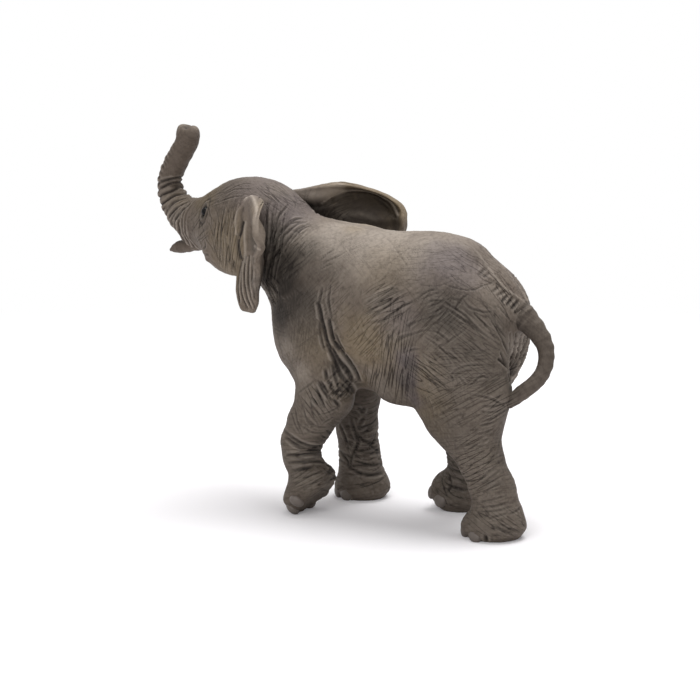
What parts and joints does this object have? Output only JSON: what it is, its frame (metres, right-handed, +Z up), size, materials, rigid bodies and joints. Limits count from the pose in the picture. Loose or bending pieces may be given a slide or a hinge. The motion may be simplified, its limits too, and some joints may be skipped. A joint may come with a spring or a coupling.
{
  "type": "toy animal figure",
  "caption": "Rigid painted vinyl toy figure of a young elephant striding with its trunk raised, moulded in keyed pieces that are glued together.",
  "frame": {"origin": "middle of the figure's bounding box, on the ground under its soles", "axes": "+X towards the head, +Y the calf's left side, +Z up"},
  "size_m": [0.1298, 0.06, 0.1019],
  "materials": {
    "hide_body": "matte painted vinyl with a wrinkled hide, dark wash in the folds and a dry-brushed warm grey over it",
    "hide_head": "matte painted vinyl, ochre tint on the cheek, with a glossy black eye",
    "hide_ears": "matte painted vinyl with a pale rim and folded fluting",
    "hide_trunk": "matte painted vinyl with raised rings and dark grooves",
    "hide_legs": "matte painted vinyl, darker towards the feet, with smooth grey nails"
  },
  "bodies": {
    "root": {"torso": "hide_body", "head": "hide_head", "trunk": "hide_trunk", "lower_lip": "hide_trunk", "left_ear": "hide_ears", "right_ear": "hide_ears", "left_foreleg": "hide_legs", "right_foreleg": "hide_legs", "left_hind_leg": "hide_legs", "right_hind_leg": "hide_legs", "tail": "hide_body"}
  },
  "joints": []
}
